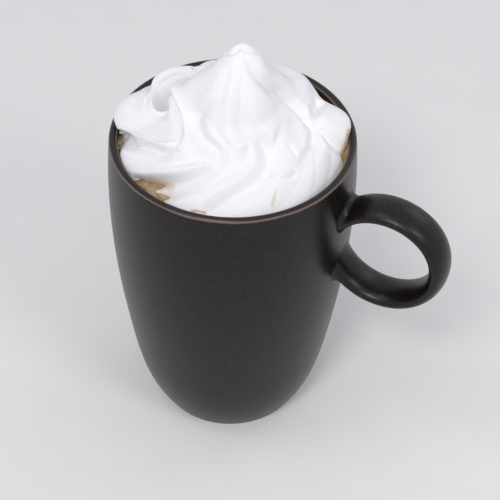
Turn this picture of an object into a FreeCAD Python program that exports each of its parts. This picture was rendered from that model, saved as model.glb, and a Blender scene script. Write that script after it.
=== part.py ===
"""Coffee topped with piped whipped cream in a tall stoneware mug, in millimetres.

The origin is the middle of the mug's foot, +Z is up and the handle points along +X.
Three solids: the mug with its ring handle, the coffee inside it and the cream on the coffee.
"""

import FreeCAD
import Part
import Mesh
import math
import os

# ---------------------------------------------------------------- driving dimensions

# mug body: outer radii at set heights, from the foot to the lip
mug_height = 116.0
stand_radius = 25.6
foot_radius = 26.4
foot_height = 1.6
heel_radius = 30.4
heel_height = 10.4
waist_radius = 35.4
waist_height = 32.5
body_radius = 39.5
body_height = 65.0
belly_radius = 40.8
belly_height = 97.0
rim_radius = 40.0

# mug wall, lip and floor
wall = 3.5
lip_thickness = 2.7
floor_thickness = 6.0

# ring handle: a flat oval strap bent into a full circle that runs into the wall
ring_centre_height = 86.2
ring_radius = 18.2
ring_stand_off = 14.6
strap_width = 13.1
strap_thickness = 6.3
strap_fillet = 2.0

# coffee
level_below_rim = 5.5

# cream: gap to the wall, height above the coffee and lean of its peak
cream_gap = 0.3
cream_height = 39.5
peak_lean = 3.2
peak_lean_azimuth = 65.0
rings = 30
steps = 100

# azimuth of the swirl as a whole, from which its azimuths below are measured
swirl_azimuth = 24.0

# outline of the cream, by azimuth, at four elevation angles seen from the middle of its underside:
# how far it stays back from the rim's radius at the lower two, and its reach at the upper two;
# it fills the mug in front and stands clear of the wall behind
outline_elevations = (0.0, 14.0, 32.0, 46.0)
outline = (
    (8.0, 3.2, 0.8, 29.0, 24.5),
    (30.0, 6.0, 4.5, 34.5, 26.0),
    (50.0, 10.5, 8.5, 33.5, 26.0),
    (90.0, 12.0, 10.5, 30.5, 25.0),
    (128.0, 10.5, 8.0, 30.5, 26.5),
    (150.0, 8.0, 3.5, 31.0, 29.0),
    (170.0, 4.0, 0.0, 28.5, 26.5),
    (188.0, 3.5, 6.0, 26.5, 25.0),
    (215.0, 3.0, 8.5, 26.5, 24.5),
    (250.0, 3.0, 9.5, 24.5, 24.4),
    (300.0, 3.0, 9.5, 24.3, 24.4),
    (340.0, 3.0, 8.0, 25.0, 24.4),
)

# upper cone and round tip: (elevation, reach)
neck = (57.0, 25.8)
tip = (80.0, 36.2)

# ridges left by the nozzle's teeth: azimuth at the wall, and depth of the groove after each
ridges = (
    (20.0, 3.4),
    (52.0, 3.0),
    (88.0, 3.0),
    (122.0, 4.0),
    (158.0, 3.4),
    (200.0, 3.6),
    (232.0, 3.4),
    (266.0, 2.2),
    (300.0, 2.6),
    (338.0, 3.0),
)

# turn of the ridges round the peak, by elevation angle: they run straight down from the tip,
# swing one way on the cone and sweep back the other way towards the wall
ridge_turn = ((0.0, 0.0), (10.0, 24.0), (20.0, 44.0), (37.0, 56.0), (55.0, 32.0), (90.0, 26.0))


# ---------------------------------------------------------------- outlines in the XZ plane

def point(radius, height):
    """Point of an outline."""
    return FreeCAD.Vector(radius, 0, height)


def smooth_curve(stations):
    """Spline through (radius, height) stations."""
    curve = Part.BSplineCurve()
    curve.interpolate([point(radius, height) for radius, height in stations])
    return curve


def path(*corners):
    """Straight edges from corner to corner."""
    return [Part.makeLine(point(*start), point(*end)) for start, end in zip(corners, corners[1:])]


def revolve(edges):
    """Solid of revolution about Z from a closed outline, its seam turned away from the handle."""
    outline = Part.Face(Part.Wire(Part.__sortEdges__(edges)))
    outline.rotate(FreeCAD.Vector(), FreeCAD.Vector(0, 0, 1), 180)
    return outline.revolve(FreeCAD.Vector(), FreeCAD.Vector(0, 0, 1), 360)


def radius_at(curve, height):
    """Radius of a wall curve at a height."""
    level_line = Part.LineSegment(point(0, height), point(4 * belly_radius, height))
    return curve.intersectCC(level_line)[0].X


# ---------------------------------------------------------------- mug

lip_start = (rim_radius, mug_height - lip_thickness / 2)
lip_end = (rim_radius - lip_thickness, lip_start[1])

outer_curve = smooth_curve([
    (foot_radius, foot_height),
    (heel_radius, heel_height),
    (waist_radius, waist_height),
    (body_radius, body_height),
    (belly_radius, belly_height),
    lip_start,
])

floor_edge = (heel_radius - 2 * wall, floor_thickness)
cavity_curve = smooth_curve([
    floor_edge,
    (heel_radius - wall / 2, heel_height + floor_thickness),
    (waist_radius - wall, waist_height + wall),
    (body_radius - wall, body_height),
    (belly_radius - wall, belly_height),
    lip_end,
])


def body_solid():
    """Filled mug body with a rounded lip, on a flat base with a narrow bevelled foot."""
    lip_crest = (rim_radius - lip_thickness / 2, mug_height)
    lip = Part.Arc(point(*lip_start), point(*lip_crest), point(*lip_end))
    base = path((0, lip_end[1]), (0, 0), (stand_radius, 0), (foot_radius, foot_height))
    return revolve(base + [outer_curve.toShape(), lip.toShape()] + path(lip_end, (0, lip_end[1])))


def cavity_solid():
    """All the room inside the mug, from its floor to above the lip."""
    top = mug_height + lip_thickness
    rest = path(lip_end, (lip_end[0], top), (0, top), (0, floor_thickness), floor_edge)
    return revolve([cavity_curve.toShape()] + rest)


def handle_ring():
    """Oval strap bent round in a circle, in the plane of the mug's axis."""
    centre_x = radius_at(outer_curve, ring_centre_height) + ring_stand_off
    section_centre = FreeCAD.Vector(centre_x + ring_radius, 0, ring_centre_height)
    section = Part.Ellipse(
        section_centre + FreeCAD.Vector(0, strap_width / 2, 0),
        section_centre + FreeCAD.Vector(strap_thickness / 2, 0, 0),
        section_centre,
    )
    face = Part.Face(Part.Wire([section.toShape()]))
    centre = FreeCAD.Vector(centre_x, 0, ring_centre_height)
    return face.revolve(centre, FreeCAD.Vector(0, 1, 0), 360)


def meets_wall(edge):
    """True for an edge where the strap runs into the outside of the body."""
    box = edge.BoundBox
    beside_handle = box.XMin > foot_radius
    return beside_handle and box.XMax < belly_radius + strap_fillet


def make_mug():
    """Body and handle in one piece, blended where the strap runs into the wall."""
    joined = body_solid().fuse(handle_ring())
    roots = [edge for edge in joined.Edges if meets_wall(edge)]
    return joined.makeFillet(strap_fillet, roots).cut(cavity_solid())


# ---------------------------------------------------------------- coffee

level = mug_height - level_below_rim
cream_radius = radius_at(cavity_curve, level) - cream_gap


def make_coffee():
    """Coffee that fills the mug up to its level."""
    size = 4 * belly_radius
    below = Part.makeBox(size, size, level, FreeCAD.Vector(-size / 2, -size / 2, 0))
    return cavity_solid().common(below)


# ---------------------------------------------------------------- cream

def smooth_step(value):
    """0 up to 0, 1 from 1, with a smooth rise between."""
    value = min(1.0, max(0.0, value))
    return value * value * (3 - 2 * value)


def through(stations, position):
    """Value at a position of the smooth line through (position, value) stations."""
    last = len(stations) - 1
    index = max(i for i in range(last) if stations[i][0] <= position or i == 0)

    def slope(i):
        before = stations[max(0, i - 1)]
        after = stations[min(last, i + 1)]
        return (after[1] - before[1]) / (after[0] - before[0])

    start = stations[index]
    end = stations[index + 1]
    width = end[0] - start[0]
    share = (position - start[0]) / width
    rise = smooth_step(share)
    leave = share * (1 - share) ** 2 * width * slope(index)
    arrive = share * share * (share - 1) * width * slope(index + 1)
    return start[1] + (end[1] - start[1]) * rise + leave + arrive


def around(rows, azimuth):
    """The two rows on either side of an azimuth, and the share of the way from one to the other."""
    for row, following in zip(rows, rows[1:] + rows[:1]):
        span = (following[0] - row[0]) % 360
        offset = (azimuth - row[0]) % 360
        if offset < span:
            return row, following, offset / span


def reach_at(elevation, azimuth):
    """Reach of the cream's outline, before its grooves."""
    row, following, share = around(outline, azimuth)
    blend = smooth_step(share)
    foot_back, skirt_back, slope, shoulder = [a + (b - a) * blend for a, b in zip(row[1:], following[1:])]
    reaches = [rim_radius - foot_back, rim_radius - skirt_back, slope, shoulder]
    past_tip = (180.0 - tip[0], tip[1])
    stations = list(zip(outline_elevations, reaches)) + [neck, tip, (90.0, cream_height), past_tip]
    return through(stations, elevation)


def groove_at(ridge_azimuth):
    """Depth below the ridges, round on a ridge and sharp at the bottom of a groove."""
    ridge, following, share = around(ridges, ridge_azimuth)
    return ridge[1] * (1 - abs(math.cos(math.pi * share)))


def cream_point(elevation, ridge_azimuth):
    """Point of the cream's surface on the line of a ridge, followed up from the wall."""
    azimuth = ridge_azimuth + through(ridge_turn, elevation)
    flatness = math.cos(math.radians(elevation))
    reach = reach_at(elevation, azimuth) - groove_at(ridge_azimuth) * flatness
    radius = reach * flatness
    height = level + reach * math.sin(math.radians(elevation))
    over_lip = max(0.0, height - mug_height - cream_gap)
    radius = min(radius, cream_radius + over_lip)
    angle = math.radians(azimuth + swirl_azimuth)
    lean = peak_lean * ((height - level) / cream_height) ** 2
    lean_angle = math.radians(peak_lean_azimuth + swirl_azimuth)
    x = radius * math.cos(angle) + lean * math.cos(lean_angle)
    y = radius * math.sin(angle) + lean * math.sin(lean_angle)
    return (x, y, height)


def make_cream():
    """Closed solid from rings of points between the underside and the peak."""
    grid = []
    for ring in range(rings):
        elevation = 90.0 * (ring / rings) ** 1.15
        grid.append([cream_point(elevation, 360 * step / steps) for step in range(steps)])
    peak = cream_point(90.0, 0.0)
    middle = (0.0, 0.0, level)
    facets = []
    for step in range(steps):
        after = (step + 1) % steps
        facets.append((middle, grid[0][after], grid[0][step]))
        facets.append((grid[-1][step], grid[-1][after], peak))
        for lower, upper in zip(grid, grid[1:]):
            facets.append((lower[step], lower[after], upper[after]))
            facets.append((lower[step], upper[after], upper[step]))
    shape = Part.Shape()
    shape.makeShapeFromMesh(Mesh.Mesh(facets).Topology, 0.001)
    return Part.makeSolid(shape)


# ---------------------------------------------------------------- output

os.makedirs("parts", exist_ok=True)
pieces = {"mug": make_mug(), "coffee": make_coffee(), "cream": make_cream()}
for name, shape in pieces.items():
    shape.exportStep("parts/" + name + ".step")
    print(name, shape.isValid(), len(shape.Solids), round(shape.Volume / 1000, 2), "cm3", shape.BoundBox)
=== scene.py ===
"""Coffee with piped whipped cream in a tall stoneware mug: the finish of every surface."""

import bpy
import math
import random
import numpy as np
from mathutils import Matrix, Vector, noise


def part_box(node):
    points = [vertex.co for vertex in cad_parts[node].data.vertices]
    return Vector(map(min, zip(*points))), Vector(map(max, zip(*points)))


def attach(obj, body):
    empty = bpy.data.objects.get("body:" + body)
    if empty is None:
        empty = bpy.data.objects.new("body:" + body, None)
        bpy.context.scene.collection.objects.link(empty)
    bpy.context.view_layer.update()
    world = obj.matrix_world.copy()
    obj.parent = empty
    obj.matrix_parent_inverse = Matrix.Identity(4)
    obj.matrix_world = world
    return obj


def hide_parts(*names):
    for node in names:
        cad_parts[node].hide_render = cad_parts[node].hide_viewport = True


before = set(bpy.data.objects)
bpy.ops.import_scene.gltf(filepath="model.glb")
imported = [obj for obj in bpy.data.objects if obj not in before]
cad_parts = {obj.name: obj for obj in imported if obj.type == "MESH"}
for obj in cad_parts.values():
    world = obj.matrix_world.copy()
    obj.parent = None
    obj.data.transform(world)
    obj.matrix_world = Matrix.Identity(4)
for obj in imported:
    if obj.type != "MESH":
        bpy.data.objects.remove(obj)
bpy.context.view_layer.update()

mm = 0.001


# ------------------------------------------------------------------ camera
# A long lens looks down on the mug from in front, with the handle to the right.
# It stands about 0.55 m from the mug, and everything is in focus.

bpy.context.scene.view_settings.view_transform = "Standard"
camera_data = bpy.data.cameras.new("camera")
camera_data.sensor_width = 36.0
camera_data.lens = 116.2
camera = bpy.data.objects.new("camera", camera_data)
bpy.context.collection.objects.link(camera)
camera.location = (0.15931, -0.35781, 0.45813)
camera.rotation_euler = (math.radians(44.782), math.radians(-1.025), math.radians(24.097))
bpy.context.scene.camera = camera


# ------------------------------------------------------------------ floor, backdrop and lamps
# A matt sheet of pale paper, wider than the view, lies under the mug, and around it is a pale surround.
# Four square softboxes light the mug: two in front, one high on the left and one behind.


def linear(hex_colour):
    """Linear colour of an sRGB hex value."""
    channels = [int(hex_colour[i:i + 2], 16) / 255 for i in (1, 3, 5)]
    return [c / 12.92 if c <= 0.04045 else ((c + 0.055) / 1.055) ** 2.4 for c in channels] + [1.0]


def add_node(tree, kind, settings=None, values=None, links=None):
    """Node of a kind, with its settings, its sockets' values and the links into its sockets."""
    node = tree.nodes.new(kind)
    for name, value in (settings or {}).items():
        setattr(node, name, value)
    for socket, value in (values or {}).items():
        node.inputs[socket].default_value = value
    for socket, source in (links or {}).items():
        tree.links.new(source, node.inputs[socket])
    return node


def new_material(name):
    """Empty node material with its output, and the tree to build it in."""
    material = bpy.data.materials.new(name)
    material.use_nodes = True
    tree = material.node_tree
    tree.nodes.clear()
    return material, tree, tree.nodes.new("ShaderNodeOutputMaterial")


floor_reach = 3.0
bpy.ops.object.select_all(action="DESELECT")
bpy.ops.mesh.primitive_grid_add(x_subdivisions=2, y_subdivisions=2, size=2 * floor_reach)
floor = bpy.context.active_object
floor.name = "floor_sheet"
floor_material, tree, output = new_material("matt_paper_sheet")
# the paper's clouds, 400 along the sheet, barely darker than the rest of it
paper_fibre = add_node(tree, "ShaderNodeTexNoise", values={"Scale": 400.0, "Detail": 4.0})
paper_tone = add_node(tree, "ShaderNodeMix", {"data_type": "RGBA"},
                      {6: linear("#f0efed"), 7: linear("#f5f4f2")}, {0: paper_fibre.outputs["Fac"]})
paper = add_node(tree, "ShaderNodeBsdfPrincipled", values={"Roughness": 0.9, "Specular IOR Level": 0.1},
                 links={"Base Color": paper_tone.outputs[2]})
tree.links.new(paper.outputs[0], output.inputs[0])
floor.data.materials.append(floor_material)

# the surround is a little darker than white where it is seen or mirrored; its light is weaker and cooler
world = bpy.data.worlds.new("studio")
bpy.context.scene.world = world
world.use_nodes = True
tree = world.node_tree
tree.nodes.clear()
surround_light = add_node(tree, "ShaderNodeBackground", values={"Color": linear("#f4f6ff"), "Strength": 0.53})
surround_seen = add_node(tree, "ShaderNodeBackground", values={"Color": linear("#e6e6e6"), "Strength": 1.0})
light_path = add_node(tree, "ShaderNodeLightPath").outputs
seen_or_mirrored = add_node(tree, "ShaderNodeMath", {"operation": "MAXIMUM"},
                            links={0: light_path["Is Camera Ray"], 1: light_path["Is Glossy Ray"]})
looked_at = add_node(tree, "ShaderNodeMath", {"operation": "MAXIMUM"},
                     links={0: seen_or_mirrored.outputs[0], 1: light_path["Is Transmission Ray"]})
surround = add_node(tree, "ShaderNodeMixShader",
                    links={0: looked_at.outputs[0], 1: surround_light.outputs[0],
                           2: surround_seen.outputs[0]})
add_node(tree, "ShaderNodeOutputWorld", links={0: surround.outputs[0]})

# softboxes aimed at the upper part of the mug: azimuth, elevation, distance, size and power in watts
aim = Vector((0.0, 0.0, 100.0 * mm))
for name, azimuth, elevation, distance, size, power in (
        ("key_softbox", -84.0, 48.0, 0.9, 0.22, 2.6),
        ("fill_softbox", -22.0, 42.0, 1.1, 0.3, 1.7),
        ("top_softbox", -139.0, 67.0, 1.1, 0.3, 0.9),
        ("back_softbox", 62.0, 34.0, 1.1, 0.5, 0.8)):
    lamp_data = bpy.data.lights.new(name, "AREA")
    lamp_data.shape = "SQUARE"
    lamp_data.size = size
    lamp_data.energy = power
    lamp = bpy.data.objects.new(name, lamp_data)
    bpy.context.collection.objects.link(lamp)
    angle, rise = math.radians(azimuth), math.radians(elevation)
    away = Vector((math.cos(angle) * math.cos(rise), math.sin(angle) * math.cos(rise), math.sin(rise)))
    lamp.location = aim + away * distance
    lamp.rotation_euler = away.to_track_quat("Z", "Y").to_euler()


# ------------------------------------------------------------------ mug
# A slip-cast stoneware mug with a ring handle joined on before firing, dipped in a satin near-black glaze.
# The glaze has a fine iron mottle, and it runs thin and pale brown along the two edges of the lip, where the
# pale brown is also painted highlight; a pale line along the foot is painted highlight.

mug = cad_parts["mug"]
lip_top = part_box("mug")[1][2]
glaze, tree, output = new_material("satin_black_stoneware_glaze")
place = add_node(tree, "ShaderNodeTexCoord").outputs["Object"]
# iron mottle, about 0.7 mm across, a shade warmer than the ground
mottle = add_node(tree, "ShaderNodeTexNoise", values={"Scale": 1.4 / mm, "Detail": 3.0, "Roughness": 0.6},
                  links={"Vector": place})
# clouds, 17 mm across, where the glaze is thicker or thinner
cloud = add_node(tree, "ShaderNodeTexNoise", values={"Scale": 0.06 / mm, "Detail": 4.0},
                 links={"Vector": place})
ground = add_node(tree, "ShaderNodeMix", {"data_type": "RGBA"}, {6: linear("#120d0c"), 7: linear("#0b0908")},
                  {0: cloud.outputs["Fac"]})
speck = add_node(tree, "ShaderNodeMapRange", values={"From Min": 0.52, "From Max": 0.70, "To Max": 0.9},
                 links={"Value": mottle.outputs["Fac"]})
specked = add_node(tree, "ShaderNodeMix", {"data_type": "RGBA"}, {7: linear("#2c221f")},
                   {0: speck.outputs["Result"], 6: ground.outputs[2]})
# the glaze runs thin over the lip, along a ragged edge, and lets the brown body through; this pale brown is
# partly painted highlight
height = add_node(tree, "ShaderNodeSeparateXYZ", links={"Vector": place}).outputs["Z"]
ragged = add_node(tree, "ShaderNodeMath", {"operation": "MULTIPLY_ADD"}, {1: 1.2 * mm, 2: -0.6 * mm},
                  {0: cloud.outputs["Fac"]})
edge_height = add_node(tree, "ShaderNodeMath", {"operation": "ADD"}, links={0: height, 1: ragged.outputs[0]})
thin_glaze_and_highlight = add_node(tree, "ShaderNodeMapRange",
                values={"From Min": lip_top - 1.2 * mm, "From Max": lip_top - 0.8 * mm},
                links={"Value": edge_height.outputs[0]})
tone = add_node(tree, "ShaderNodeMix", {"data_type": "RGBA"}, {7: linear("#75645c")},
                {0: thin_glaze_and_highlight.outputs["Result"], 6: specked.outputs[2]})
# and gathers again on the crest, so the pale brown, partly painted highlight, is left as a fine line along
# each edge of the lip
crest = add_node(tree, "ShaderNodeMapRange",
                 values={"From Min": lip_top - 0.6 * mm, "From Max": lip_top - 0.3 * mm},
                 links={"Value": height})
tone = add_node(tree, "ShaderNodeMix", {"data_type": "RGBA"}, {7: linear("#251c1b")},
                {0: crest.outputs["Result"], 6: tone.outputs[2]})
# painted highlight: a pale brown fine line along the bottom of the mug, up to about 1 mm, where the rounded
# foot catches the light
painted_foot_highlight = add_node(tree, "ShaderNodeMapRange",
                values={"From Min": 0.9 * mm, "From Max": 1.4 * mm, "To Min": 1.0, "To Max": 0.0},
                links={"Value": edge_height.outputs[0]})
tone = add_node(tree, "ShaderNodeMix", {"data_type": "RGBA"}, {7: linear("#5a4f49")},
                {0: painted_foot_highlight.outputs["Result"], 6: tone.outputs[2]})
# satin: soft highlights, broken up by the mottle
sheen = add_node(tree, "ShaderNodeMapRange", values={"To Min": 0.27, "To Max": 0.35},
                 links={"Value": mottle.outputs["Fac"]})
bump = add_node(tree, "ShaderNodeBump", values={"Strength": 0.5, "Distance": 0.1 * mm},
                links={"Height": mottle.outputs["Fac"]})
glazed = add_node(tree, "ShaderNodeBsdfPrincipled", values={"Specular IOR Level": 0.30},
                  links={"Base Color": tone.outputs[2], "Roughness": sheen.outputs["Result"],
                         "Normal": bump.outputs[0]})
tree.links.new(glazed.outputs[0], output.inputs[0])
mug.data.materials.clear()
mug.data.materials.append(glaze)


# ------------------------------------------------------------------ coffee
# Brewed coffee that fills the mug up to 5.5 mm below its lip, with some cream melted into it.
# It is a glossy liquid, brown where it is clear and tan where it is milky, and lies mostly under the crema.

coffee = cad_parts["coffee"]
brew, tree, output = new_material("brewed_coffee_with_milk")
place = add_node(tree, "ShaderNodeTexCoord").outputs["Object"]
# swirls of milk, 8 mm across
swirl = add_node(tree, "ShaderNodeTexNoise", values={"Scale": 0.12 / mm, "Detail": 4.0, "Distortion": 1.5},
                 links={"Vector": place})
tone = add_node(tree, "ShaderNodeMix", {"data_type": "RGBA"}, {6: linear("#5a3b24"), 7: linear("#8d6a46")},
                {0: swirl.outputs["Fac"]})
liquid = add_node(tree, "ShaderNodeBsdfPrincipled", values={"Roughness": 0.12, "IOR": 1.33},
                  links={"Base Color": tone.outputs[2]})
tree.links.new(liquid.outputs[0], output.inputs[0])
coffee.data.materials.clear()
coffee.data.materials.append(brew)


# ------------------------------------------------------------------ crema
# Tan coffee foam that floats on the coffee in a thin uneven sheet and climbs a little where it meets the
# wall. It shows only in the gaps that the cream leaves, dense and pale in places, thin and brown in others.
# Beside the handle it was swept higher up the wall. Sizes are in millimetres and angles in degrees.

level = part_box("cream")[0][2] / mm
crema_wall = 37.25
crema_inner = 22.0
crema_thickness = 0.25
# how high its underside floats, and its waves and bumps: height, and how many there are in a millimetre
crema_lift = 0.15
crema_waves = ((0.10, 0.35), (0.05, 1.4))
# below 1, its rows of vertices lie closer together towards the wall
row_crowding = 0.6
# the climb at the wall, and the added climb where it was swept up beside the handle
climb_height = 0.9
climb_width = 0.7
swept_azimuth = 22.0
swept_spread = 14.0
swept_height = 2.4
swept_width = 0.6


def crema_height(turn, radius):
    """Height of the crema above the coffee, where it floats flat and where it climbs the wall."""
    swept = math.exp(-((math.degrees(turn) - swept_azimuth) / swept_spread) ** 2)
    climb = (climb_height + swept_height * swept) * math.exp(
        (radius - crema_wall) / (climb_width + swept_width * swept))
    return crema_thickness + crema_lift + climb


bpy.ops.object.select_all(action="DESELECT")
bpy.ops.mesh.primitive_grid_add(x_subdivisions=360, y_subdivisions=36, size=2.0)
crema = bpy.context.active_object
crema.name = "crema_foam"
# a grid laid in a ring round the mug's axis
for vertex in crema.data.vertices:
    turn = math.pi * (vertex.co.x + 1)
    radius = crema_inner + (crema_wall - crema_inner) * ((vertex.co.y + 1) / 2) ** row_crowding
    spot = Vector((radius * math.cos(turn), radius * math.sin(turn), 0.0))
    uneven = sum(wave * noise.noise(spot * frequency) for wave, frequency in crema_waves)
    vertex.co = (spot + Vector((0.0, 0.0, level + crema_height(turn, radius) + uneven))) * mm
bpy.ops.object.mode_set(mode="EDIT")
bpy.ops.mesh.select_all(action="SELECT")
bpy.ops.mesh.remove_doubles(threshold=0.01 * mm)
bpy.ops.mesh.normals_make_consistent(inside=False)
bpy.ops.object.mode_set(mode="OBJECT")
solidify = crema.modifiers.new("sheet", "SOLIDIFY")
solidify.thickness = crema_thickness * mm
solidify.offset = -1.0 if crema.data.polygons[0].normal.z > 0 else 1.0
bpy.ops.object.modifier_apply(modifier=solidify.name)
bpy.ops.object.shade_smooth()

foam, tree, output = new_material("coffee_crema_foam")
place = add_node(tree, "ShaderNodeTexCoord").outputs["Object"]
# dense pale patches and thin brown ones, 8 mm across
patch = add_node(tree, "ShaderNodeTexNoise", values={"Scale": 0.13 / mm, "Detail": 4.0, "Roughness": 0.6},
                 links={"Vector": place})
patches = add_node(tree, "ShaderNodeMapRange", values={"From Min": 0.40, "From Max": 0.62},
                   links={"Value": patch.outputs["Fac"]})
tone = add_node(tree, "ShaderNodeMix", {"data_type": "RGBA"}, {6: linear("#9c7b55"), 7: linear("#c9b198")},
                {0: patches.outputs["Result"]})
# froth cells, 0.3 to 0.6 mm across, each with a darker rim
cell = add_node(tree, "ShaderNodeTexVoronoi", {"feature": "DISTANCE_TO_EDGE"}, {"Scale": 2.2 / mm},
                {"Vector": place})
rims = add_node(tree, "ShaderNodeMapRange", values={"From Max": 0.12, "To Min": 0.55, "To Max": 0.0},
                links={"Value": cell.outputs["Distance"]})
frothed = add_node(tree, "ShaderNodeMix", {"data_type": "RGBA"}, {7: linear("#7a5d40")},
                   {0: rims.outputs["Result"], 6: tone.outputs[2]})
bump = add_node(tree, "ShaderNodeBump", values={"Strength": 0.5, "Distance": 0.1 * mm},
                links={"Height": cell.outputs["Distance"]})
froth = add_node(tree, "ShaderNodeBsdfPrincipled", values={"Roughness": 0.3, "Specular IOR Level": 0.5},
                 links={"Base Color": frothed.outputs[2], "Normal": bump.outputs[0]})
tree.links.new(froth.outputs[0], output.inputs[0])
crema.data.materials.append(foam)
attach(crema, "root")


# ------------------------------------------------------------------ bubbles on the crema
# Loose bubbles of coffee, 0.4 to 1.6 mm across, that gather against the wall in the gaps beside the cream.
# Each floats in the foam, with the larger part of it above. There are few large ones among many small.

# each gap: azimuth of its middle, its spread and the bubbles in it
bubble_gaps = ((208.0, 13.0, 16), (247.0, 12.0, 18), (277.0, 5.0, 6), (26.0, 12.0, 12), (130.0, 40.0, 18))
smallest_bubble = 0.2
largest_bubble = 0.8
gap_width = 4.0
wall_clearance = 0.1


def add_bubble(radius, distance, turn, height):
    """Bubble of a radius, at a distance from the mug's axis and a height above the coffee."""
    bpy.ops.mesh.primitive_ico_sphere_add(
        subdivisions=2, radius=radius * mm,
        location=(distance * math.cos(turn) * mm, distance * math.sin(turn) * mm, (level + height) * mm))


scatter = random.Random(5)
bpy.ops.object.select_all(action="DESELECT")
add_bubble(0.4, crema_wall - 0.6, math.radians(90.0), 0.6)
bubbles = bpy.context.active_object
bubbles.name = "crema_bubbles"
bpy.ops.object.transform_apply(location=True)
bpy.ops.object.mode_set(mode="EDIT")
for middle, spread, bubble_count in bubble_gaps:
    for bubble in range(bubble_count):
        turn = math.radians(scatter.gauss(middle, spread / 2))
        radius = smallest_bubble + (largest_bubble - smallest_bubble) * scatter.random() ** 3
        distance = crema_wall - radius - wall_clearance - gap_width * scatter.random() ** 2
        add_bubble(radius, distance, turn, crema_height(turn, distance) + radius / 3)
bpy.ops.object.mode_set(mode="OBJECT")
bpy.ops.object.shade_smooth()

film, tree, output = new_material("coffee_bubble_film")
place = add_node(tree, "ShaderNodeTexCoord").outputs["Object"]
# a wet brown film with a sharp highlight, paler in blotches of 1 mm where the coffee has drained out of it
drained = add_node(tree, "ShaderNodeTexNoise", values={"Scale": 0.9 / mm, "Detail": 2.0},
                   links={"Vector": place})
tone = add_node(tree, "ShaderNodeMix", {"data_type": "RGBA"}, {6: linear("#6d4f33"), 7: linear("#b79a78")},
                {0: drained.outputs["Fac"]})
skin = add_node(tree, "ShaderNodeBsdfPrincipled", values={"Roughness": 0.08, "IOR": 1.33},
                links={"Base Color": tone.outputs[2]})
tree.links.new(skin.outputs[0], output.inputs[0])
bubbles.data.materials.append(film)
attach(bubbles, "root")


# ------------------------------------------------------------------ whipped cream
# Dairy cream piped through a star nozzle in one swirl over the coffee and lifted off at its middle.
# Its teeth left ridges that run down from the tip, swing one way on the cone and sweep back at the foot.
# It is drawn in millimetres and degrees: reach and elevation are taken from the middle of its underside.

cream_height = 39.5
# the cream keeps within this radius inside the mug, and spreads over the lip only above this height
cream_radius = 37.0
lip_height = 116.3
# azimuth of the swirl, from which every azimuth below is measured
swirl_azimuth = 24.0
peak_lean = 3.2
peak_lean_azimuth = 65.0

# outline, by azimuth: its reach at four elevations, and its neck and tip as elevation and reach
outline_elevations = (0.0, 14.0, 32.0, 46.0)
outline = (
    (8.0, 36.8, 38.6, 28.0, 24.5),
    (30.0, 34.0, 34.5, 32.4, 26.0),
    (50.0, 29.5, 31.5, 32.4, 26.0),
    (90.0, 28.0, 29.5, 30.5, 25.0),
    (128.0, 29.5, 32.0, 30.5, 26.5),
    (150.0, 32.0, 36.5, 31.0, 29.0),
    (170.0, 36.0, 40.0, 28.5, 26.5),
    (188.0, 36.5, 34.0, 26.5, 25.0),
    (215.0, 37.0, 31.5, 26.5, 24.5),
    (250.0, 37.0, 30.5, 24.5, 24.4),
    (300.0, 37.0, 30.5, 24.3, 24.4),
    (340.0, 37.0, 32.0, 25.0, 24.4),
)
neck = (57.0, 25.4)
tip = (80.0, 35.6)

# ridges left by the teeth: azimuth at the wall and depth of the groove after each, and how far
# they are turned round the peak, by elevation
ridges = (
    (20.0, 2.4), (52.0, 3.0), (88.0, 1.4), (122.0, 0.5), (158.0, 0.5),
    (200.0, 0.4), (232.0, 0.4), (266.0, 0.4), (300.0, 0.5), (338.0, 0.8),
)
ridge_turn = ((0.0, 0.0), (10.0, 24.0), (20.0, 44.0), (37.0, 56.0), (55.0, 32.0), (90.0, 26.0))

# broad fullness and hollows of the piped turns: azimuth, elevation, spread and height
swells = (
    (22.0, 54.0, 14.0, 4.4),
    (50.0, 50.0, 12.0, 1.6),
    (22.0, 24.0, 9.0, -2.6),
    (178.0, 50.0, 12.0, 4.2),
    (168.0, 63.0, 10.0, 2.0),
    (166.0, 17.0, 8.0, 0.8),
    (140.0, 74.0, 9.0, -1.8),
    (40.0, 84.0, 8.0, 1.2),
    (-12.0, 79.0, 8.0, 1.8),
    (-163.0, 6.0, 8.0, 2.6),
)

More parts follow.
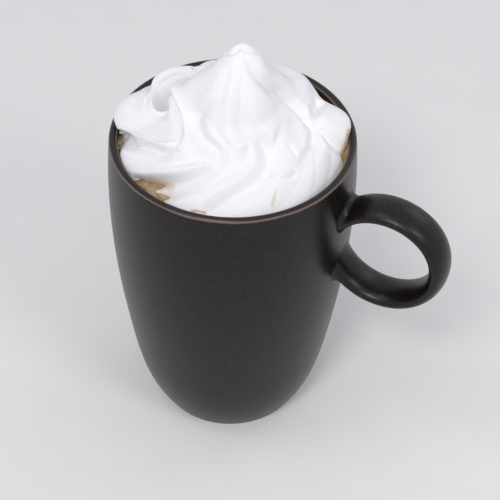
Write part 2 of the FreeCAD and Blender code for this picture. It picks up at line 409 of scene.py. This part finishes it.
# creases between the ridges and lobes in front, each from its top or inner end:
# half widths left and right of the line, then azimuth, elevation and depth along it;
# a depth below zero is a raised edge
creases = (
    # the fold behind the very tip
    (1.5, 1.2, (170, 84, 0.8), (-146, 86, 1.3), (-112, 88, 1.3), (-70, 89, 0.8), (-40, 87, 1.2),
     (-18, 84.5, 1.2), (8, 80, 0.7)),
    # left of the cone, an S that ends above the deep valley over the lower left edge
    (4.0, 4.4, (-116, 79, 0.4), (-115, 73, 0.7), (-118, 67, 0.9), (-132, 62, 1.1), (-143, 56, 1.7),
     (-142, 51, 2.2), (-134, 47, 2.4), (-123, 43, 2.4), (-110, 40, 2.2), (-104, 37, 1.8), (-102, 33, 1.4),
     (-103, 28, 1.4)),
    (2.6, 2.6, (-114, 56, 0.0), (-108, 49, 0.6), (-100, 44, 0.7), (-98, 37, 0.7), (-100, 30, 0.4)),
    # under the broad ridge at the lower left: its sharp lower edge and the valley that opens at the wall
    (6.5, 3.2, (-100, 27, 1.0), (-109, 23, 2.6), (-118, 18, 4.0), (-128, 13, 5.5), (-138, 8, 7.0),
     (-148, 2, 8.0)),
    (4.0, 4.0, (-114, 15, 1.0), (-124, 9, 3.0), (-133, 3, 5.0)),
    (5.0, 5.0, (-148, 0, 3.0), (-142, 0, 6.5), (-134, 0, 6.0), (-126, 0, 2.0)),
    (1.4, 1.4, (-154, 5, -0.3), (-142, 12, -0.5), (-130, 19, -0.5), (-118, 24, -0.4), (-106, 28, -0.2)),
    (1.4, 1.4, (-140, 16, 0.2), (-130, 22, 0.4), (-120, 27, 0.4), (-106, 31, 0.2)),
    # the valley down the middle of the cone, which swings right and sweeps back left at the foot
    (5.0, 5.6, (-79, 79, 0.4), (-80, 74, 0.9), (-81, 67, 1.4), (-80, 60, 1.8), (-75, 54, 1.8),
     (-66, 48, 1.9), (-60, 42, 2.2), (-57, 33, 2.5), (-60, 27, 2.6), (-66, 22, 2.7), (-75, 18, 2.8),
     (-84, 15, 2.6), (-92, 11, 2.2), (-100, 6, 1.4)),
    (3.6, 3.8, (-92, 54, 0.0), (-78, 46, 0.9), (-74, 42, 1.3), (-77, 35, 1.4), (-81, 29, 1.2),
     (-90, 25, 1.1), (-98, 21, 1.0), (-106, 17, 0.8), (-116, 12, 0.4)),
    # the deep crease that parts the cone from the lobe behind its right side
    (4.4, 3.2, (-58, 83, 0.5), (-48, 78, 1.3), (-36, 73, 1.9), (-18, 66, 2.4), (0, 57, 3.0), (4, 47, 3.6),
     (2, 38, 4.0), (-3, 31, 4.2), (-8, 26, 3.8), (-16, 22, 3.2), (-26, 20, 2.4), (-36, 19, 1.4),
     (-44, 19, 0.4)),
    (1.4, 1.2, (-58, 83, 0.4), (-48, 78, 1.0), (-36, 73, 1.3), (-18, 66, 1.1), (0, 57, 0.4)),
    (3.0, 3.0, (-17, 50, 0.0), (-33, 43, 0.6), (-47, 36, 0.8), (-55, 29, 0.6), (-60, 24, 0.2)),
    # the lower right lobe: its top end, its groove, two short tears and its notch at the wall
    (3.0, 3.0, (18, 23, 2.4), (12, 26, 3.0), (6, 28, 3.0), (0, 29, 2.6), (-7, 28, 1.8), (-13, 26, 0.8)),
    (4.0, 3.0, (-5, 28, 1.4), (-8, 22, 2.6), (-10, 16, 2.8), (-10, 10, 2.0), (-9, 4, 1.0)),
    (0.8, 1.2, (-23, 23, 0.3), (-27, 21, 0.9), (-31, 18, 0.2)),
    (1.2, 1.2, (-37, 30, 0.3), (-37, 26, 0.7), (-39, 22, 0.3)),
    (3.0, 3.0, (-10, 0, 0.2), (-2, 0, 1.0), (6, 0, 1.4), (14, 0, 1.0)),
    # the torn peak where the cone's last groove ends
    (1.2, 1.2, (-56, 19, -0.2), (-51, 19.5, -0.7), (-47, 18, -0.4)),
    (1.3, 1.3, (-55, 16.5, 0.3), (-50, 15.5, 1.0), (-46, 16, 0.2)),
    (1.6, 1.6, (-80, 16, -0.1), (-68, 18, -0.5), (-57, 19, -0.4)),
    # a shallow dimple on the left lobe, and the fold between it and the curl
    (3.6, 3.6, (166, 22, 0.3), (171, 23, 0.9), (177, 23, 0.3)),
    (1.2, 1.6, (158, 26, 0.3), (164, 27, 0.8), (171, 27, 0.8), (178, 28, 0.3)),
    # the left lobe: the deep fold under its edge, and the edge itself
    (2.0, 5.0, (178, 6, 5.2), (-176, 11, 5.0), (-165, 16, 4.3), (-156, 20, 3.6), (-146, 23, 2.6),
     (-140, 27, 1.2)),
    (1.5, 1.5, (179, 11, -0.3), (-176, 14, -0.9), (-164, 20, -1.0), (-155, 23, -1.0), (-148, 27, -0.9),
     (-144, 32, -0.4)),
    # the crease beside the smooth panel left of the cone, and the panel's edge
    (1.8, 3.6, (165, 43, 2.4), (-179, 45, 2.0), (-161, 44, 1.8), (-147, 38, 1.2), (-142, 33, 0.6)),
    (1.6, 1.6, (163, 47, -0.6), (-179, 49, -0.8), (-162, 48, -0.8), (-150, 42, -0.6)),
    # the curl behind the panel: a hollow open to the front, inside a thin rim
    (5.4, 3.6, (179, 36, 3.0), (171, 36, 9.0), (161, 37, 13.0), (151, 40, 13.0), (141, 43, 9.5),
     (132, 48, 6.0), (125, 54, 2.8), (117, 60, 0.0)),
    (2.0, 2.0, (176, 30, -0.6), (164, 27, -1.2), (154, 26, -1.6), (145, 26, -2.0), (136, 29, -2.4),
     (127, 35, -2.6), (116, 42, -2.4), (104, 46, -1.2)),
    (1.5, 1.5, (164, 28, -0.4), (172, 29, -0.9), (178, 31, -1.0), (-179, 38, -0.6)),
    # where the coffee shows at the foot in front
    (2.4, 2.4, (-114, 0, 1.0), (-107, 0, 2.6), (-100, 0, 1.0)),
)
# steps in which a crease is followed from station to station, and a stain from end to end
steps_between_stations = 14
stain_steps = 40

# height at the foot below which creases are pressed in level
level_foot = 3.0

# tint of the cream just above the coffee, and room left round the middle of a stain
tint_strength = 0.55
tint_height = 1.6
longest_stain = 12.0


def smooth_step(value):
    """0 up to 0, 1 from 1, with a smooth rise between."""
    value = np.clip(value, 0.0, 1.0)
    return value * value * (3 - 2 * value)


def through(stations, position):
    """Values at positions of the smooth line through (position, value) stations."""
    places = np.array([station[0] for station in stations])
    values = [np.asarray(station[1], float) + 0 * position for station in stations]
    last = len(stations) - 1

    def slope(k):
        low, high = max(0, k - 1), min(last, k + 1)
        return (values[high] - values[low]) / (places[high] - places[low])

    index = np.clip(np.searchsorted(places, position, side="right") - 1, 0, last - 1)
    result = np.zeros_like(position)
    for i in range(last):
        width = places[i + 1] - places[i]
        share = (position - places[i]) / width
        line = (values[i] + (values[i + 1] - values[i]) * smooth_step(share)
                + share * (1 - share) ** 2 * width * slope(i)
                + share * share * (share - 1) * width * slope(i + 1))
        result = np.where(index == i, line, result)
    return result


def around(rows, azimuth):
    """Index of the row before each azimuth, and the share of the way to the next."""
    index = np.zeros(azimuth.shape, int)
    share = np.zeros(azimuth.shape)
    for i, row in enumerate(rows):
        span = (rows[(i + 1) % len(rows)][0] - row[0]) % 360
        offset = (azimuth - row[0]) % 360
        here = offset < span
        index[here] = i
        share[here] = (offset / span)[here]
    return index, share


def follow(stations, count):
    """Azimuths, elevations and any further values at even steps along the smooth line through stations."""
    knots = np.array(stations, float)
    knots[:, 0] = np.degrees(np.unwrap(np.radians(knots[:, 0])))
    steps = np.linspace(0, len(knots) - 1, count)
    return [through(list(enumerate(column)), steps) for column in knots.T]


def cream_surface(elevation, azimuth):
    """Points of the cream's surface, before its creases."""
    index, share = around(outline, azimuth)
    table = np.array(outline)
    after = (index + 1) % len(outline)
    blend = smooth_step(share)
    stations = [(place, table[index, k + 1] * (1 - blend) + table[after, k + 1] * blend)
                for k, place in enumerate(outline_elevations)]
    stations += [neck, tip, (90.0, cream_height), (180.0 - tip[0], tip[1])]
    ridge, along = around(ridges, azimuth - through(ridge_turn, elevation))
    depth = np.array(ridges)[ridge, 1] * (1 - np.abs(np.cos(np.pi * along)))
    rise, turn = np.radians(elevation), np.radians(azimuth)
    flatness = np.cos(rise)
    reach = through(stations, elevation) - depth * flatness
    for swell_azimuth, swell_elevation, spread, fullness in swells:
        swell_turn, swell_rise = math.radians(swell_azimuth), math.radians(swell_elevation)
        nearness = (flatness * math.cos(swell_rise) * np.cos(turn - swell_turn)
                    + np.sin(rise) * math.sin(swell_rise))
        away = np.degrees(np.arccos(np.clip(nearness, -1.0, 1.0)))
        reach = reach + fullness * np.exp(-(away / spread) ** 2)
    radius = reach * flatness
    height = level + reach * np.sin(rise)
    radius = np.minimum(radius, cream_radius + np.maximum(0.0, height - lip_height))
    angle = np.radians(azimuth + swirl_azimuth)
    lean = peak_lean * ((height - level) / cream_height) ** 2
    lean_angle = math.radians(peak_lean_azimuth + swirl_azimuth)
    return np.stack([radius * np.cos(angle) + lean * math.cos(lean_angle),
                     radius * np.sin(angle) + lean * math.sin(lean_angle), height], -1)


def crease_depths(points, normals):
    """Depth at each point: the creases there, run together where they cross, less the raised edges."""
    cut = np.zeros(len(points))
    raised = np.zeros(len(points))
    for left, right, *stations in creases:
        azimuth, elevation, depth = follow(stations, steps_between_stations * (len(stations) - 1) + 1)
        line = cream_surface(elevation, azimuth)
        along = np.gradient(line, axis=0)
        along /= np.linalg.norm(along, axis=1)[:, None]
        reach = max(left, right)
        near = np.nonzero(((points > line.min(0) - reach) & (points < line.max(0) + reach)).all(1))[0]
        offset = points[near, None] - line[None]
        closest = np.argmin((offset ** 2).sum(2), axis=1)
        offset = offset[np.arange(len(near)), closest]
        direction = along[closest]
        inner = (closest > 0) & (closest < len(line) - 1)
        forward = (offset * direction).sum(1)
        distance = np.sqrt(np.maximum(0.0, (offset ** 2).sum(1) - np.where(inner, forward ** 2, 0.0)))
        side = (np.cross(direction, offset) * normals[near]).sum(1)
        share = np.pi / 2 * np.clip(distance / np.where(side > 0, left, right), 0, 1)
        shape = (1 - np.sin(share) + np.cos(share) ** 2) / 2
        value = depth[closest] * shape
        cut[near] += np.maximum(0.0, value) ** 3
        raised[near] = np.maximum(raised[near], -value)
    return np.cbrt(cut) - raised


def vertex_points(mesh):
    """Positions of a mesh's vertices, a row for each."""
    points = np.empty(len(mesh.vertices) * 3)
    mesh.vertices.foreach_get("co", points)
    return points.reshape(-1, 3)


# a grid of azimuths by elevations, shaped in millimetres, joined up at its side, gathered at the peak
# and closed below
bpy.ops.object.select_all(action="DESELECT")
bpy.ops.mesh.primitive_grid_add(x_subdivisions=540, y_subdivisions=165, size=2.0)
cream = bpy.context.active_object
cream.name = "whipped_cream"
sheet = vertex_points(cream.data)
points = cream_surface(45.0 * (sheet[:, 1] + 1), 180.0 * (sheet[:, 0] + 1))
cream.data.vertices.foreach_set("co", points.ravel())
cream.data.update()
bpy.ops.object.mode_set(mode="EDIT")
bpy.ops.mesh.select_all(action="SELECT")
bpy.ops.mesh.remove_doubles(threshold=0.0005)
bpy.ops.mesh.select_all(action="DESELECT")
bpy.ops.mesh.select_mode(type="EDGE")
bpy.ops.mesh.select_non_manifold()
bpy.ops.mesh.edge_face_add()
bpy.ops.mesh.select_all(action="SELECT")
bpy.ops.mesh.normals_make_consistent(inside=False)
bpy.ops.object.mode_set(mode="OBJECT")

# the creases are pressed in square to the surface, but level at the foot, which stays on the coffee;
# the heights are then brought back to the cream's own
uncreased = vertex_points(cream.data)
normals = np.empty(uncreased.size)
cream.data.vertex_normals.foreach_get("vector", normals)
normals = normals.reshape(-1, 3)
normals[:, 2] *= smooth_step((uncreased[:, 2] - level) / level_foot)
points = uncreased - normals * crease_depths(uncreased, normals)[:, None]
peak = points[:, 2].max() - level
points[:, 2] = level + np.maximum(0.0, points[:, 2] - level) * min(1.0, cream_height / peak)
cream.data.vertices.foreach_set("co", (points * mm).ravel())
cream.data.update()
bpy.ops.object.shade_smooth()

# coffee in the cream: a tint just above its level, then thin streaks and soaked patches near the wall,
# each as its half width, its strength, and the azimuths and elevations along it
stain = tint_strength * smooth_step(1 - (points[:, 2] - level) / tint_height)
for half_width, strength, *stations in (
        (0.30, 0.30, (-63, 13), (-64, 12), (-65, 11)),
        (0.50, 0.55, (-65, 11), (-66, 10), (-68, 7)),
        (0.25, 0.25, (-18, 21), (-23, 19), (-30, 16), (-36, 12)),
        (0.70, 0.18, (-36, 12), (-42, 7), (-46, 4), (-49, 0)),
        (0.50, 0.90, (-111, 4.2), (-107, 4.6), (-104, 4.4)),
        (1.30, 1.00, (0, 11), (-3, 9), (-6, 5), (-11, 3)),
        (1.50, 0.40, (-142, 7), (-136, 9), (-130, 9))):
    azimuth, elevation = follow(stations, stain_steps)
    line = cream_surface(elevation, azimuth)
    near = np.nonzero((np.abs(uncreased - line.mean(0)) < longest_stain).all(1))[0]
    distance = np.sqrt(((uncreased[near, None] - line[None]) ** 2).sum(2)).min(1)
    stain[near] = np.maximum(stain[near], strength * smooth_step(1.5 - distance / half_width))
cream.data.attributes.new("coffee_stain", "FLOAT", "POINT").data.foreach_set("value", stain)

whip, tree, output = new_material("whipped_dairy_cream")
place = add_node(tree, "ShaderNodeTexCoord").outputs["Object"]
# a very fine grain, 0.7 mm across
grain = add_node(tree, "ShaderNodeTexNoise", values={"Scale": 1.4 / mm, "Detail": 3.0},
                 links={"Vector": place})
tone = add_node(tree, "ShaderNodeMix", {"data_type": "RGBA"}, {6: linear("#f3f2f4"), 7: linear("#f7f7f8")},
                {0: grain.outputs["Fac"]})
soaked = add_node(tree, "ShaderNodeAttribute", {"attribute_name": "coffee_stain"})
# the coffee soaks in unevenly, in blotches of about a millimetre
blotch = add_node(tree, "ShaderNodeTexNoise", values={"Scale": 0.9 / mm, "Detail": 2.0},
                  links={"Vector": place})
uneven = add_node(tree, "ShaderNodeMapRange", values={"From Min": 0.38, "From Max": 0.58, "To Min": 0.65},
                  links={"Value": blotch.outputs["Fac"]})
soaked = add_node(tree, "ShaderNodeMath", {"operation": "MULTIPLY"},
                  links={0: soaked.outputs["Fac"], 1: uneven.outputs["Result"]})
tone = add_node(tree, "ShaderNodeMix", {"data_type": "RGBA"}, {7: linear("#cdae80")},
                {0: soaked.outputs[0], 6: tone.outputs[2]})
bump = add_node(tree, "ShaderNodeBump", values={"Strength": 0.12, "Distance": 0.1 * mm},
                links={"Height": grain.outputs["Fac"]})
# light goes a little way into the fat and air of the cream and comes out warmer
dairy = add_node(tree, "ShaderNodeBsdfPrincipled",
                 values={"Roughness": 0.5, "Specular IOR Level": 0.35, "Subsurface Weight": 0.08,
                         "Subsurface Radius": (1.0, 0.9, 0.85), "Subsurface Scale": 2.0 * mm},
                 links={"Base Color": tone.outputs[2], "Normal": bump.outputs[0]})
tree.links.new(dairy.outputs[0], output.inputs[0])
cream.data.materials.append(whip)
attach(cream, "root")
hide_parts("cream")
